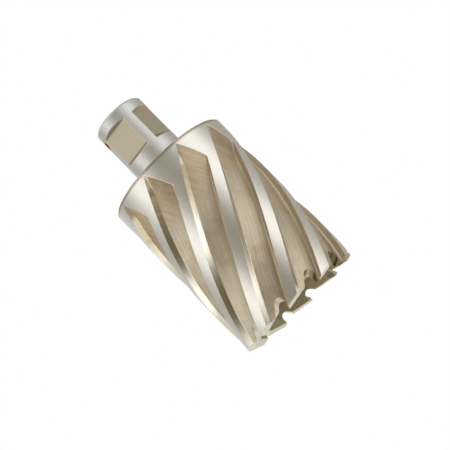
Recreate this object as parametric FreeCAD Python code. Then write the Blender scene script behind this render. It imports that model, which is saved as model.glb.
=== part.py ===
import FreeCAD, Part
import math
import os

# Annular cutter: a hollow drill for steel plate. A straight shank with two clamping flats carries a ring
# with ten right-hand helical flutes, and the ring's open end is ground into ten teeth. It is one piece of
# high-speed steel. It cuts a ring-shaped groove and leaves a round slug inside the ring.
# Lengths are in millimetres and angles in degrees. The axis is Z, the tooth tips touch z = 0, the shank
# is at the top, and the first flat faces -Y. Seen from above, the cutter turns clockwise.

# Ring
cutter_diameter = 46.0
ring_wall = 5.5
body_length = 63.0            # from the tooth tips to the shoulder
slug_depth = 52.0             # depth of the hollow above the tooth tips
slug_roof_chamfer = 1.2
shoulder_chamfer = 0.6
grinding_stock = 2.0          # how far the turned blank runs on below the tooth tips
overrun = 4.0                 # how far each grinding pass runs on past the metal

# Shank
shank_diameter = 19.05
shank_length = 25.0
shank_chamfer = 0.8
shank_root_chamfer = 0.5
pilot_bore = 6.5
pilot_chamfer = 0.5

# Clamping flats, a quarter turn apart
flat_depth = 1.65
flat_length = 12.2
flat_end_gap = 4.6            # from the shank's end to the flat
flat_end_slope = 28.0         # lean of the flat's upper end wall
flat_angles = (-90.0, 0.0)

# Helical flutes
flute_count = 10
helix_lead_length = 250.0
land_width = 4.1              # round the outside
heel_wall_depth = 1.75
heel_wall_slant = 38.0
rake_wall_depth = 2.2
rake_wall_lean = 4.0
heel_foot_radius = 0.5
rake_foot_chamfer = 0.6

# Run-out, where the grinding wheel lifts out of the flute below the shoulder
wheel_radius = 50.0
wheel_skew = 42.0             # the wheel's axis from the horizontal
wheel_bite = 0.05             # how far the wheel reaches below the flute's floor
wheel_arc = 40.0              # of its rim, enough to lift it clear of the ring
runout_height = 17.8          # from the shoulder down to where the wheel starts to lift

# Teeth
relief_angle = 10.0           # how the tooth's end rises behind its cutting edge
outer_bevel = 17.0
inner_bevel = 9.0
ridge_turn = 10.0             # the ridge runs square to the radius this far behind the tip

# Gullets, the round windows in front of the cutting faces
gullet_radius = 1.9
gullet_height = 1.45          # of the gullet's centre above the tooth tips
gullet_mouth_slope = 45.0
gullet_lead = 0.5             # how far the cutting face at the bore is ahead of the land's edge
gullet_swing = 8.0            # the gullet's outer end trails
gullet_rise = 27.0            # and rises
gullet_clearance = 0.8        # how far outside the flute's floor the gullet ends, under the land


def sin(angle):
    return math.sin(math.radians(angle))


def cos(angle):
    return math.cos(math.radians(angle))


def tan(angle):
    return math.tan(math.radians(angle))


# Worked out from the sizes above
outer_radius = cutter_diameter / 2
bore_radius = outer_radius - ring_wall
shank_radius = shank_diameter / 2
total_length = body_length + shank_length
flat_top = total_length - flat_end_gap
flat_bottom = flat_top - flat_length
pilot_radius = pilot_bore / 2
pitch_angle = 360.0 / flute_count
land_angle = math.degrees(land_width / outer_radius)
floor_radius = outer_radius - rake_wall_depth
floor_wall = floor_radius - bore_radius
bore_tip_angle = -math.degrees(gullet_lead / bore_radius)
face_turn = gullet_swing - math.degrees(math.asin(bore_radius * sin(gullet_swing) / floor_radius))
tip_angle = bore_tip_angle + face_turn
tooth_reach = 2 * floor_radius * sin(pitch_angle / 2) - 2 * gullet_radius   # to the next gullet
ORIGIN = FreeCAD.Vector(0, 0, 0)
UP = FreeCAD.Vector(0, 0, 1)


def outward(angle):
    """Unit vector away from the axis at an angle round it."""
    return FreeCAD.Vector(cos(angle), sin(angle), 0)


def around(angle):
    """Unit vector round the axis, anticlockwise seen from above."""
    return FreeCAD.Vector(-sin(angle), cos(angle), 0)


def unit(vector):
    return vector * (1 / vector.Length)


def outline(corners):
    """Closed wire through (point, radius) corners, each rounded by a tangent arc where it has a radius."""
    spans = []
    for index, (point, radius) in enumerate(corners):
        before = unit(corners[index - 1][0] - point)
        after = unit(corners[(index + 1) % len(corners)][0] - point)
        if radius:
            half = before.getAngle(after) / 2
            bisector = unit(before + after)
            start = point + before * (radius / math.tan(half))
            end = point + after * (radius / math.tan(half))
            crown = point + bisector * (radius / math.sin(half) - radius)
            spans.append((start, Part.Arc(start, crown, end).toShape(), end))
        else:
            spans.append((point, None, point))
    edges = []
    for index, (start, arc, end) in enumerate(spans):
        if arc:
            edges.append(arc)
        edges.append(Part.LineSegment(end, spans[(index + 1) % len(spans)][0]).toShape())
    return Part.Wire(edges)


def prism(corners, direction):
    return Part.Face(outline(corners)).extrude(direction)


def turned_blank():
    """Shank, shoulder, ring and hollow, revolved from one half section in the XZ plane. The shank's wall
    has section points at both ends of the flats, so that the flats cut only the middle one of three bands."""
    def at(radius, height):
        return (FreeCAD.Vector(radius, 0, height), 0)

    section = [
        at(bore_radius, -grinding_stock),
        at(outer_radius, -grinding_stock),
        at(outer_radius, body_length - shoulder_chamfer),
        at(outer_radius - shoulder_chamfer, body_length),
        at(shank_radius + shank_root_chamfer, body_length),
        at(shank_radius, body_length + shank_root_chamfer),
        at(shank_radius, flat_bottom),
        at(shank_radius, flat_top),
        at(shank_radius, total_length - shank_chamfer),
        at(shank_radius - shank_chamfer, total_length),
        at(pilot_radius + pilot_chamfer, total_length),
        at(pilot_radius, total_length - pilot_chamfer),
        at(pilot_radius, slug_depth + pilot_chamfer),
        at(pilot_radius + pilot_chamfer, slug_depth),
        at(bore_radius - slug_roof_chamfer, slug_depth),
        at(bore_radius, slug_depth - slug_roof_chamfer),
    ]
    return Part.Face(outline(section)).revolve(ORIGIN, UP, 360)


def flat_cutter(angle):
    """Wedge-ended block that mills one clamping flat."""
    floor = shank_radius - flat_depth
    past = shank_radius + flat_depth
    slope_rise = (past - floor) * tan(flat_end_slope)
    side = around(angle)

    def at(radius, height):
        return (outward(angle) * radius + UP * height - side * shank_radius, 0)

    section = [
        at(floor, flat_bottom),
        at(past, flat_bottom),
        at(past, flat_top + slope_rise),
        at(floor, flat_top),
    ]
    return prism(section, side * shank_diameter)


def flute_walls():
    """Foot of the land's heel wall, foot of the next land's rake wall, and the way down each wall."""
    down_heel = around(land_angle) * sin(heel_wall_slant) - outward(land_angle) * cos(heel_wall_slant)
    down_rake = -around(pitch_angle) * sin(rake_wall_lean) - outward(pitch_angle) * cos(rake_wall_lean)
    heel_foot = outward(land_angle) * outer_radius + down_heel * (heel_wall_depth / cos(heel_wall_slant))
    rake_foot = outward(pitch_angle) * outer_radius + down_rake * (rake_wall_depth / cos(rake_wall_lean))
    return heel_foot, rake_foot, down_heel, down_rake


def flute_section():
    """Corners of the flute across the axis, from above the land's heel to above the next cutting edge."""
    heel_foot, rake_foot, down_heel, down_rake = flute_walls()
    along_floor = unit(rake_foot - heel_foot)
    return [
        (heel_foot - down_heel * (heel_wall_depth + overrun), 0),
        (heel_foot, heel_foot_radius),
        (rake_foot - along_floor * rake_foot_chamfer, 0),
        (rake_foot - down_rake * rake_foot_chamfer, 0),
        (rake_foot - down_rake * (rake_wall_depth + overrun), 0),
    ]


def helical_void():
    """The flute's section carried up the helix, from below the teeth to above the shoulder."""
    bottom = -grinding_stock - overrun
    height = body_length + overrun - bottom
    spine = Part.Wire(Part.LineSegment(ORIGIN, UP * height).toShape())
    helix = Part.Wire(Part.makeHelix(helix_lead_length, height, outer_radius))
    sweep = Part.BRepOffsetAPI.MakePipeShell(spine)
    sweep.setAuxiliarySpine(helix, True, 0)
    sweep.add(outline(flute_section()))
    sweep.build()
    sweep.makeSolid()
    void = sweep.shape()
    void.rotate(ORIGIN, UP, bottom * 360 / helix_lead_length)
    void.translate(UP * bottom)
    return void


def runout():
    """What the wheel leaves standing above the place where it lifts out of the flute."""
    heel_foot, rake_foot = flute_walls()[:2]
    height = body_length - runout_height
    turn = FreeCAD.Rotation(UP, height * 360 / helix_lead_length)
    along_floor = turn.multVec(unit(rake_foot - heel_foot))
    off_floor = along_floor.cross(UP)
    start = turn.multVec((heel_foot + rake_foot) * 0.5) + UP * height - off_floor * wheel_bite
    axis = along_floor * cos(wheel_skew) - UP * sin(wheel_skew)
    travel = along_floor * sin(wheel_skew) + UP * cos(wheel_skew)

    def rim(arc):
        return start + travel * (wheel_radius * sin(arc)) + off_floor * (wheel_radius * (1 - cos(arc)))

    lifted = rim(wheel_arc)
    sunk = start - off_floor * outer_radius
    ramp = Part.Arc(start, rim(wheel_arc / 2), lifted).toShape()
    sides = Part.makePolygon([lifted, sunk + travel * (lifted - start).dot(travel), sunk, start])
    face = Part.Face(Part.Wire([ramp] + sides.Edges))
    face.translate(axis * (-outer_radius / 2))
    return face.extrude(axis * outer_radius)


def gullet():
    """Round-nosed window through the wall in front of the first tooth's cutting face."""
    swung = outward(bore_tip_angle + gullet_swing)
    ahead = UP.cross(swung) * -1
    axis = swung * cos(gullet_rise) + UP * sin(gullet_rise)
    rise = swung * -sin(gullet_rise) + UP * cos(gullet_rise)
    tip = outward(bore_tip_angle) * bore_radius
    centre_ahead = math.sqrt(gullet_radius ** 2 - gullet_height ** 2)

    def at(forward, upward):
        return tip + ahead * forward + rise * upward

    mouth_start = at(
        centre_ahead + gullet_radius * sin(gullet_mouth_slope),
        gullet_height + gullet_radius * cos(gullet_mouth_slope),
    )
    drop = gullet_height + gullet_radius + grinding_stock + overrun
    mouth_end = mouth_start + ahead * (drop / tan(gullet_mouth_slope)) - rise * drop
    back = at(centre_ahead - gullet_radius, gullet_height)
    below = tip + rise * (mouth_end - tip).dot(rise)
    nose = Part.Arc(tip, back, mouth_start).toShape()
    mouth = Part.makePolygon([mouth_start, mouth_end, below, tip])
    face = Part.Face(Part.Wire([nose] + mouth.Edges))
    face.translate(axis * -overrun)
    bottom = -grinding_stock - overrun
    within = Part.makeCylinder(floor_radius + gullet_clearance, body_length - bottom, UP * bottom, UP)
    return face.extrude(axis * outer_radius).common(within)


def tooth_end():
    """Waste below the first tooth: its top is a shallow roof that rises behind the cutting edge."""
    square_angle = tip_angle + ridge_turn
    out = outward(square_angle)
    slide = around(square_angle) * cos(relief_angle) + UP * sin(relief_angle)
    start = outward(tip_angle) * floor_radius - slide * overrun

    def at(reach, height):
        return (start + out * reach + UP * height, 0)

    outer_reach = rake_wall_depth + overrun
    inner_reach = floor_wall + overrun
    section = [
        at(0, 0),
        at(outer_reach, outer_reach * tan(outer_bevel)),
        at(outer_reach, -overrun),
        at(-inner_reach, -overrun),
        at(-inner_reach, inner_reach * tan(inner_bevel)),
    ]
    return prism(section, slide * (tooth_reach + overrun))


def round_the_ring(tool):
    """Copies of a cutting tool, one for each flute."""
    copies = []
    for index in range(flute_count):
        copy = tool.copy()
        copy.rotate(ORIGIN, UP, index * pitch_angle)
        copies.append(copy)
    return copies


flats = [flat_cutter(angle) for angle in flat_angles]
flute = helical_void().cut(runout())

annular_cutter = turned_blank().cut(flats)
annular_cutter = annular_cutter.cut(round_the_ring(flute))
annular_cutter = annular_cutter.cut(round_the_ring(gullet()))
annular_cutter = annular_cutter.cut(round_the_ring(tooth_end()))
annular_cutter = annular_cutter.Solids[0]

os.makedirs("parts", exist_ok=True)
annular_cutter.exportStep("parts/annular_cutter.step")
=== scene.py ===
import math
from types import SimpleNamespace

import bpy
from mathutils import Matrix, Vector

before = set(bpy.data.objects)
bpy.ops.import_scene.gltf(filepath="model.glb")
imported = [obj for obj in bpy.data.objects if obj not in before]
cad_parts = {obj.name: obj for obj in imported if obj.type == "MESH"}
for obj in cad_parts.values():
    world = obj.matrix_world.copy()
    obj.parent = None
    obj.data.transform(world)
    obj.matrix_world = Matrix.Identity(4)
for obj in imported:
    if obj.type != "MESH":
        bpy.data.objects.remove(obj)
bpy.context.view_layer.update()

# Annular cutter. One piece of high-speed steel, turned and then ground: the lands and the shank fine and
# bright on a cylindrical grinder, the flutes, gullets and clamping flats coarser, each by its own wheel. The
# wheels leave a straw tint, and the grinding fluid leaves brown stains.
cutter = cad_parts["annular_cutter"]


def linear(code):
    """sRGB hex colour as linear RGBA."""
    channels = [int(code[i:i + 2], 16) / 255 for i in (1, 3, 5)]
    return [c / 12.92 if c <= 0.04045 else ((c + 0.055) / 1.055) ** 2.4 for c in channels] + [1.0]


def add(tree, kind, inputs, output=0, **settings):
    """Adds a shader node with its settings, values and links, and returns one of its outputs. Inputs go by
    name or number: a Mix node has its numbers at 2 and 3, its vectors at 4 and 5, its colours at 6 and 7."""
    made = tree.nodes.new("ShaderNode" + kind)
    for name, value in settings.items():
        setattr(made, name, value)
    for key, value in inputs.items():
        if isinstance(value, bpy.types.NodeSocket):
            tree.links.new(value, made.inputs[key])
        else:
            made.inputs[key].default_value = value
    return made.outputs[output] if made.outputs else None


def start_material(name):
    """A new material with an empty node tree."""
    material = bpy.data.materials.new(name)
    material.use_nodes = True
    material.node_tree.nodes.clear()
    return material, material.node_tree


# Sizes in millimetres, as on the solid
OUTER_RADIUS = 23.0
BORE_RADIUS = 17.5
SHANK_RADIUS = 9.525
SHOULDER_HEIGHT = 63.0
FLUTE_COUNT = 10
HELIX_LEAD = 250.0


def measured(tree):
    """What places a point on the cutter: its height, radius and ways round in mm, its facing, and its share
    of the way from one land's cutting edge to the next."""
    at = SimpleNamespace()
    coords = add(tree, "TexCoord", {}, "Object")
    at.place = add(tree, "VectorMath", {0: coords, "Scale": 1000.0}, operation="SCALE")
    at.z = add(tree, "SeparateXYZ", {0: at.place}, "Z")
    level = add(tree, "VectorMath", {0: at.place, 1: (1, 1, 0)}, operation="MULTIPLY")
    at.radius = add(tree, "VectorMath", {0: level}, "Value", operation="LENGTH")
    at.outward = add(tree, "VectorMath", {0: level}, operation="NORMALIZE")
    at.round_axis = add(tree, "VectorMath", {0: (0, 0, 1), 1: at.outward}, operation="CROSS_PRODUCT")

    at.facing = add(tree, "NewGeometry", {}, "Normal")
    at.facing_up = add(tree, "SeparateXYZ", {0: at.facing}, "Z")
    at.facing_round = add(tree, "VectorMath", {0: at.facing, 1: at.round_axis}, "Value",
                          operation="DOT_PRODUCT")

    x = add(tree, "SeparateXYZ", {0: at.place}, "X")
    y = add(tree, "SeparateXYZ", {0: at.place}, "Y")
    at.angle = add(tree, "Math", {0: y, 1: x}, operation="ARCTAN2")
    untwisted = add(tree, "Math", {0: at.z, 1: -2 * math.pi / HELIX_LEAD, 2: at.angle},
                    operation="MULTIPLY_ADD")
    flutes = add(tree, "Math", {0: untwisted, 1: FLUTE_COUNT / (2 * math.pi)}, operation="MULTIPLY")
    at.share = add(tree, "Math", {0: flutes}, operation="FRACT")
    at.arc = add(tree, "Math", {0: at.angle, 1: OUTER_RADIUS}, operation="MULTIPLY")
    at.across_flute = add(tree, "Math", {0: untwisted, 1: OUTER_RADIUS}, operation="MULTIPLY")
    return at


def zone(tree, inside, *limits):
    """Mask of a zone inside a wider one, which is 1 for all of the surface. Each limit is a measure, the
    value at which the zone begins, and the value at which it is full."""
    mask = inside
    for measure, begins, full in limits:
        edge = add(tree, "MapRange", {0: measure, 1: begins, 2: full})
        mask = add(tree, "Math", {0: mask, 1: edge}, operation="MULTIPLY")
    return mask


# Limits of the ground zones: heights and radii in millimetres, feet as shares of the way between two lands
HEEL_FOOT = 0.386
RAKE_FOOT = 0.965
FOOT_EDGE = 0.01              # how soft the edges at the feet are
EXIT_HEIGHT = 45.0            # where the wheel starts to leave the flute
EXIT_BLEND = 3.5              # how far above and below that the two zones run into each other
HEEL_TIP = 57.0               # above this the heel runs out into the land
GULLET_HEIGHT = 5.6
GULLET_RADIUS = 20.5
RIM_HEIGHT = 62.2             # from here up the shoulder's corner is darker
RIM_RADIUS = 22.3
FLAT_BOTTOM = 70.5            # just below and above the clamping flats
FLAT_TOP = 84.1
FLAT_SHADE_LINE = 72.15             # painted shade: a dark line across each flat, near its lower end


def ground_zones(tree, at):
    """The zones that differ in how they were ground, each with a narrow soft edge."""
    on = SimpleNamespace()
    on.top = zone(tree, 1.0, (at.facing_up, 0.75, 0.85))
    on.ring = zone(tree, 1.0, (at.facing_up, 0.85, 0.75),
                   (at.z, SHOULDER_HEIGHT + 0.07, SHOULDER_HEIGHT + 0.03))
    on.bore = zone(tree, on.ring, (at.radius, BORE_RADIUS + 0.25, BORE_RADIUS + 0.05))
    on.rim = zone(tree, on.ring, (at.z, RIM_HEIGHT - 0.5, RIM_HEIGHT),
                  (at.radius, RIM_RADIUS - 0.1, RIM_RADIUS + 0.1))
    on.tooth_end = zone(tree, on.ring, (at.facing_up, -0.6, -0.8))

    on.flute = zone(tree, on.ring, (at.radius, OUTER_RADIUS - 0.03, OUTER_RADIUS - 0.09))
    on.heel = zone(tree, on.flute, (at.share, HEEL_FOOT + FOOT_EDGE, HEEL_FOOT - FOOT_EDGE))
    on.rake = zone(tree, on.flute, (at.share, RAKE_FOOT - FOOT_EDGE, RAKE_FOOT + FOOT_EDGE))
    on.floor = zone(tree, on.flute, (at.share, HEEL_FOOT - FOOT_EDGE, HEEL_FOOT + FOOT_EDGE),
                    (at.share, RAKE_FOOT + FOOT_EDGE, RAKE_FOOT - FOOT_EDGE))
    # Painted shade: the floor darkens towards the foot of the rake wall, where shade falls in the corner,
    # and lower down it darkens further towards the teeth
    on.floor_by_rake = zone(tree, on.floor, (at.share, 0.7, 0.97))
    on.floor_by_teeth = zone(tree, on.floor_by_rake, (at.z, 21.0, 3.0))
    on.exit = zone(tree, on.flute, (at.share, RAKE_FOOT + FOOT_EDGE, RAKE_FOOT - FOOT_EDGE),
                   (at.z, EXIT_HEIGHT - EXIT_BLEND, EXIT_HEIGHT + EXIT_BLEND))

    on.gullet = zone(tree, 1.0, (at.z, GULLET_HEIGHT + 0.5, GULLET_HEIGHT - 0.5),
                     (at.radius, GULLET_RADIUS + 0.15, GULLET_RADIUS - 0.15),
                     (at.radius, BORE_RADIUS + 0.05, BORE_RADIUS + 0.25))
    # Painted shade: the tooth faces deep in the gullets, which lie in shadow, get a darker tint
    on.tooth_face = zone(tree, on.gullet, (at.facing_round, -0.35, -0.75))

    on.shank = zone(tree, 1.0, (at.z, SHOULDER_HEIGHT + 0.1, SHOULDER_HEIGHT + 0.3))
    on.flat = zone(tree, 1.0, (at.z, FLAT_BOTTOM - 0.1, FLAT_BOTTOM + 0.1),
                   (at.z, FLAT_TOP + 0.1, FLAT_TOP - 0.1), (at.radius, 4.5, 5.5),
                   (at.radius, SHANK_RADIUS - 0.02, SHANK_RADIUS - 0.08))
    # Painted shade: a dark line across each flat, near its lower end
    on.flat_line = zone(tree, on.flat, (at.z, FLAT_SHADE_LINE - 0.4, FLAT_SHADE_LINE - 0.15),
                        (at.z, FLAT_SHADE_LINE + 0.4, FLAT_SHADE_LINE + 0.15))
    return on


# Rust: the place of its middle, and the size of its grains and how far its edge wanders in millimetres
RUST_ANGLE = math.radians(-139)
RUST_HEIGHT = 82.6
RUST_GRAIN = 0.8333
RUST_RAGGED = 2.4


def rust(tree, at, on):
    """Rust that has begun on one side of the shank: where it is, and its colour, which darkens from a ragged
    halo to the middle."""
    way = add(tree, "Math", {0: at.angle, 1: SHANK_RADIUS, 2: -RUST_ANGLE * SHANK_RADIUS},
              operation="MULTIPLY_ADD")
    rise = add(tree, "Math", {0: at.z, 1: RUST_HEIGHT}, operation="SUBTRACT")
    from_middle = add(tree, "CombineXYZ", {0: way, 1: rise})
    reach = add(tree, "VectorMath", {0: from_middle}, "Value", operation="LENGTH")
    ragged = add(tree, "TexNoise", {"Vector": at.place, "Scale": 1 / RUST_GRAIN, "Detail": 4.0,
                                    "Roughness": 0.7})
    reach = add(tree, "Math", {0: ragged, 1: -RUST_RAGGED, 2: reach}, operation="MULTIPLY_ADD")
    middle = zone(tree, 1.0, (reach, 0.3, -0.4))
    colour = add(tree, "Mix", {"Factor": middle, 6: linear("#b87f4e"), 7: linear("#7d4128")}, 2,
                 data_type="RGBA")
    return zone(tree, on.shank, (reach, 0.9, 0.0)), colour


# Widths and lengths of the wheel marks in millimetres. Real marks are some 0.05 mm wide, too fine to show,
# so they are drawn ten to twenty times coarser.
RING_MARK = 0.4545
RING_MARK_LENGTH = 28.75
FLUTE_MARK = 0.602
FLUTE_MARK_LENGTH = 16.7
EXIT_MARK = 1.111
EXIT_MARK_LENGTH = 11.1
EXIT_MARK_TILT = math.radians(29)


def streaks(tree, first, second, detail):
    """Marks of a grinding wheel. Each way over the surface comes with the size of a mark that way."""
    ways = [add(tree, "Math", {0: way, 1: size}, operation="DIVIDE") for way, size in (first, second)]
    place = add(tree, "CombineXYZ", {0: ways[0], 1: ways[1]})
    return add(tree, "TexNoise", {"Vector": place, "Scale": 1.0, "Detail": detail, "Roughness": 0.6})


def wheel_marks(tree, at, on):
    """Marks round the lands and the shank, along the flutes, and across them where the wheel leaves."""
    marks = streaks(tree, (at.arc, RING_MARK_LENGTH), (at.z, RING_MARK), 4.0)
    along = streaks(tree, (at.across_flute, FLUTE_MARK), (at.z, FLUTE_MARK_LENGTH), 4.0)
    rolled_out = add(tree, "CombineXYZ", {0: at.arc, 1: at.z})
    tilt = (math.cos(EXIT_MARK_TILT), math.sin(EXIT_MARK_TILT), 0)
    aslant = add(tree, "VectorMath", {0: rolled_out, 1: tilt}, "Value", operation="DOT_PRODUCT")
    leaving = streaks(tree, (aslant, EXIT_MARK), (at.z, EXIT_MARK_LENGTH), 3.0)
    for mask, others in (on.flute, along), (on.exit, leaving):
        marks = add(tree, "Mix", {"Factor": mask, 2: marks, 3: others})
    return marks


STAIN_SIZE = 8.333            # of the stains in the flutes, in millimetres
STAIN_STRENGTH = 0.4          # share of the steel's own tint that a full stain hides


def ground_tint(tree, at, on, marks):
    """Bright steel with a straw tint where the coarse wheels cut, and brown stains in the flutes. Painted
    shade darkens the tooth faces in the gullets, the floor by the rake walls and a line across each flat.
    """
    stain = add(tree, "TexNoise", {"Vector": at.place, "Scale": 1 / STAIN_SIZE, "Detail": 4.0,
                                   "Roughness": 0.6})
    stained = zone(tree, on.floor, (stain, 0.5, 0.72))
    stained = add(tree, "Math", {0: stained, 1: STAIN_STRENGTH}, operation="MULTIPLY")
    leaving = add(tree, "Mix", {"Factor": on.heel, 6: linear("#cabaa0"), 7: linear("#cdc1a7")}, 2,
                  data_type="RGBA")
    tint = linear("#e0ded8")
    for mask, colour in (
            (on.flute, linear("#d4cab8")),
            (on.heel, linear("#e3ddd0")),
            # painted shade by the rake walls' feet, darker still towards the teeth
            (on.floor_by_rake, linear("#c3b7a1")),
            (on.floor_by_teeth, linear("#ad9e85")),
            (on.rake, linear("#cfc2ac")),
            (on.exit, leaving),
            (on.shank, linear("#d6d6d4")),
            (on.top, linear("#d2cdc2")),
            (on.flat, linear("#c4bba8")),
            # painted shade line across each flat
            (on.flat_line, linear("#8f826a")),
            (on.bore, linear("#dcd4ba")),
            (on.rim, linear("#b5aa99")),
            (on.gullet, linear("#ecead9")),
            # painted shade on the tooth faces in the gullets
            (on.tooth_face, linear("#968d75")),
            (on.tooth_end, linear("#d0c9b6")),
            (stained, linear("#a88f68"))):
        tint = add(tree, "Mix", {"Factor": mask, 6: tint, 7: colour}, 2, data_type="RGBA")

    # The marks change the lands' brightness by a twentieth and the flutes' by a fifth
    depth = add(tree, "Mix", {"Factor": on.flute, 2: 0.05, 3: 0.2})
    shade = add(tree, "MapRange", {0: marks, 1: 0.35, 2: 0.65, 3: -0.5, 4: 0.5})
    shade = add(tree, "Math", {0: shade, 1: depth, 2: 1.0}, operation="MULTIPLY_ADD")
    return add(tree, "VectorMath", {0: tint, "Scale": shade}, operation="SCALE")


# Slopes round the ring: the heel leans back towards the land, the hollow-ground floor the other way
HEEL_LEAN = -0.065
FLOOR_LEAN = 0.13


def ground_facing(tree, at, on):
    """The surface's facing with the forms too slight for the solid: the floor is hollow, the heel is rounded
    towards the land, and the wheel's exit is blended into the outside."""
    at_tip = zone(tree, 1.0, (at.z, HEEL_TIP - 2, HEEL_TIP + 2))
    share = add(tree, "Mix", {"Factor": at_tip, 2: 0.15, 3: 0.95})
    share = add(tree, "Mix", {"Factor": on.heel, 2: 0.8, 3: share})
    blended = add(tree, "Math", {0: on.exit, 1: share}, operation="MULTIPLY")
    facing = add(tree, "Mix", {"Factor": blended, 4: at.facing, 5: at.outward}, 1, data_type="VECTOR")
    lean = add(tree, "Math", {0: on.heel, 1: HEEL_LEAN}, operation="MULTIPLY")
    lean = add(tree, "Math", {0: on.floor, 1: FLOOR_LEAN, 2: lean}, operation="MULTIPLY_ADD")
    turned = add(tree, "VectorMath", {0: at.round_axis, "Scale": lean}, operation="SCALE")
    facing = add(tree, "VectorMath", {0: facing, 1: turned}, operation="ADD")
    return add(tree, "VectorMath", {0: facing}, operation="NORMALIZE")


MARK_HEIGHT = 0.05            # of the bump, in millimetres


def ground_high_speed_steel():
    """Ground high-speed steel: a satin mirror with fine wheel marks, which draws each lamp out into a soft
    band along the tool. The coarser the wheel, the duller and the more yellow the zone."""
    steel, tree = start_material("ground_high_speed_steel")
    at = measured(tree)
    on = ground_zones(tree, at)
    rusty, rust_colour = rust(tree, at, on)
    marks = wheel_marks(tree, at, on)

    tint = ground_tint(tree, at, on, marks)
    tint = add(tree, "Mix", {"Factor": rusty, 6: tint, 7: rust_colour}, 2, data_type="RGBA")

    leaving = add(tree, "Mix", {"Factor": on.heel, 2: 0.63, 3: 0.5})
    dullness = 0.44
    for mask, level in ((on.flute, 0.63), (on.shank, 0.54), (on.heel, 0.26), (on.exit, leaving),
                        (on.gullet, 0.4), (on.flat, 0.6), (on.bore, 0.8), (rusty, 0.85)):
        dullness = add(tree, "Mix", {"Factor": mask, 2: dullness, 3: level})

    bump = add(tree, "Bump", {"Strength": 0.25, "Distance": MARK_HEIGHT / 1000, "Height": marks,
                              "Normal": ground_facing(tree, at, on)})
    surface = add(tree, "BsdfPrincipled", {"Base Color": tint, "Metallic": 1.0, "Roughness": dullness,
                                           "Normal": bump})
    add(tree, "OutputMaterial", {"Surface": surface})
    return steel


cutter.material_slots[0].material = ground_high_speed_steel()


# Table. A plain white sheet that the cutter stands on. It has no underside, because the camera is below it
# and looks up at the teeth. The steel doesn't mirror it: a pale glow in the light tent stands for it there.
TABLE_SIZE = 8.0
TABLE_GLOW = 0.6              # share of the white seen that doesn't depend on the lamps


def matt_white_paper():
    """Matt white paper: plain and even, and it takes a soft shadow."""
    paper, tree = start_material("matt_white_paper")
    lit = add(tree, "BsdfDiffuse", {"Color": linear("#f2f2f0")})
    pale = add(tree, "Emission", {"Color": linear("#f7f7f6")})
    seen = 0.0
    for kind_of_ray in "Is Camera Ray", "Is Glossy Ray", "Is Transmission Ray":
        seen = add(tree, "Math", {0: add(tree, "LightPath", {}, kind_of_ray), 1: seen}, operation="ADD",
                   use_clamp=True)
    share = add(tree, "Math", {0: seen, 1: TABLE_GLOW}, operation="MULTIPLY")
    white = add(tree, "MixShader", {0: share, 1: lit, 2: pale})
    underside = add(tree, "NewGeometry", {}, "Backfacing")
    surface = add(tree, "MixShader", {0: underside, 1: white, 2: add(tree, "BsdfTransparent", {})})
    add(tree, "OutputMaterial", {"Surface": surface})
    return paper


bpy.ops.mesh.primitive_plane_add(size=TABLE_SIZE)
table = bpy.context.object
table.name = "table"
table.data.materials.append(matt_white_paper())
table.visible_glossy = False


# Light tent. The camera sees white paper all round, and so would glass. The steel mirrors that paper behind
# the tool, and elsewhere the tent's grey cloth, its darker open front and the pale glow of the table.
VIEW_TURN = math.radians(27.5)      # of the camera round the tool, from the side that the first flat is on
PAPER_BEARING = math.radians(-165)  # from the camera to the middle of the mirrored paper


def way(bearing):
    """Level direction at a bearing from the camera."""
    return Matrix.Rotation(VIEW_TURN + bearing, 3, "Z") @ Vector((0, -1, 0))


tent = bpy.data.worlds.new("light_tent")
tent.use_nodes = True
bpy.context.scene.world = tent
tree = tent.node_tree
tree.nodes.clear()
sight = add(tree, "TexCoord", {}, "Generated")
rise = add(tree, "SeparateXYZ", {0: sight}, "Z")
level = add(tree, "VectorMath", {0: sight, 1: (1, 1, 0)}, operation="MULTIPLY")
level = add(tree, "VectorMath", {0: level}, operation="NORMALIZE")
to_front = add(tree, "VectorMath", {0: level, 1: way(0)}, "Value", operation="DOT_PRODUCT")
to_paper = add(tree, "VectorMath", {0: level, 1: way(PAPER_BEARING)}, "Value", operation="DOT_PRODUCT")

# Limits are sines of the height above the horizon, and cosines of the bearing from a zone's middle
opening = add(tree, "Mix", {"Factor": zone(tree, 1.0, (rise, 0.02, 0.34)), 6: linear("#736950"),
                            7: linear("#aaa59a")}, 2, data_type="RGBA")
cloth = linear("#b6b3ac")
for mask, colour in (
        (zone(tree, 1.0, (rise, -0.05, -0.28)), linear("#edeae2")),
        (zone(tree, 1.0, (to_front, 0.67, 0.95)), opening)):
    cloth = add(tree, "Mix", {"Factor": mask, 6: cloth, 7: colour}, 2, data_type="RGBA")

mirrored = zone(tree, add(tree, "LightPath", {}, "Is Glossy Ray"), (to_paper, 0.7, 0.94))
seen = add(tree, "Math", {0: add(tree, "LightPath", {}, "Is Camera Ray"), 1: mirrored}, operation="ADD")
seen = add(tree, "Math", {0: add(tree, "LightPath", {}, "Is Transmission Ray"), 1: seen}, operation="ADD",
           use_clamp=True)
white = add(tree, "Mix", {"Factor": seen, 6: cloth, 7: (1, 1, 1, 1)}, 2, data_type="RGBA")
add(tree, "OutputWorld", {"Surface": add(tree, "Background", {"Color": white})})


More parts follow.
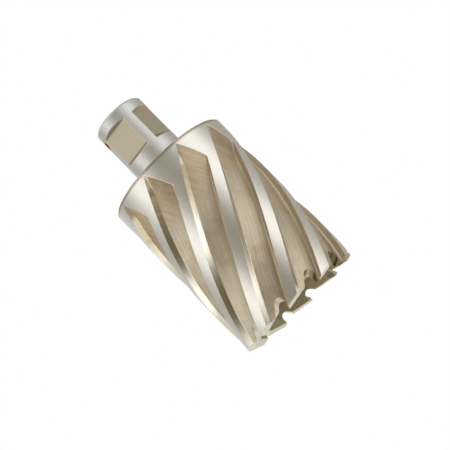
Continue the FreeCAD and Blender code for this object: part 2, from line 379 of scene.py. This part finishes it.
# Soft boxes. Two tall rectangular lamps with white fronts, to the left and right of the camera. The lands
# mirror them as two broad bright bands.
BOX_WIDTH = 0.55
BOX_HEIGHT = 1.4
BOX_DISTANCE = 0.75
BOX_RISE = math.radians(5)
BOX_BRIGHTNESS = 1.25         # as a multiple of the white paper's
TOOL_MIDDLE = Vector((0, 0, 0.044))


def soft_box(name, bearing):
    """A rectangular lamp that faces the tool."""
    lamp = bpy.data.lights.new(name, "AREA")
    lamp.shape = "RECTANGLE"
    lamp.size = BOX_WIDTH
    lamp.size_y = BOX_HEIGHT
    lamp.energy = BOX_BRIGHTNESS * math.pi * BOX_WIDTH * BOX_HEIGHT
    box = bpy.data.objects.new(name, lamp)
    away = (way(bearing) + Vector((0, 0, math.tan(BOX_RISE)))).normalized()
    box.location = TOOL_MIDDLE + away * BOX_DISTANCE
    box.rotation_euler = away.to_track_quat("Z", "Y").to_euler()
    box.visible_camera = False
    bpy.context.scene.collection.objects.link(box)


soft_box("soft_box_left", math.radians(-54))
soft_box("soft_box_right", math.radians(57))


# Camera. It looks up at the cutter from just below the teeth, and is rolled so that the tool lies across the
# picture with its teeth at the lower right.
CAMERA_DISTANCE = 0.38505
CAMERA_HEIGHT = -0.03115
CAMERA_ROLL = math.radians(-44.59)
AIM_ASIDE = 0.00028
AIM_HEIGHT = 0.03623
FOCAL_LENGTH = 95.37

eye = way(0) * CAMERA_DISTANCE + Vector((0, 0, CAMERA_HEIGHT))
aim = way(math.radians(90)) * AIM_ASIDE + Vector((0, 0, AIM_HEIGHT))
ahead = (aim - eye).normalized()
across = ahead.cross(Vector((0, 0, 1))).normalized()
across.rotate(Matrix.Rotation(-CAMERA_ROLL, 3, ahead))
camera = bpy.data.objects.new("camera", bpy.data.cameras.new("camera"))
camera.data.lens = FOCAL_LENGTH
camera.data.clip_end = 20
camera.matrix_world = Matrix((across, across.cross(ahead), -ahead)).transposed().to_4x4()
camera.location = eye
bpy.context.scene.collection.objects.link(camera)
bpy.context.scene.camera = camera
bpy.context.scene.view_settings.view_transform = "Standard"
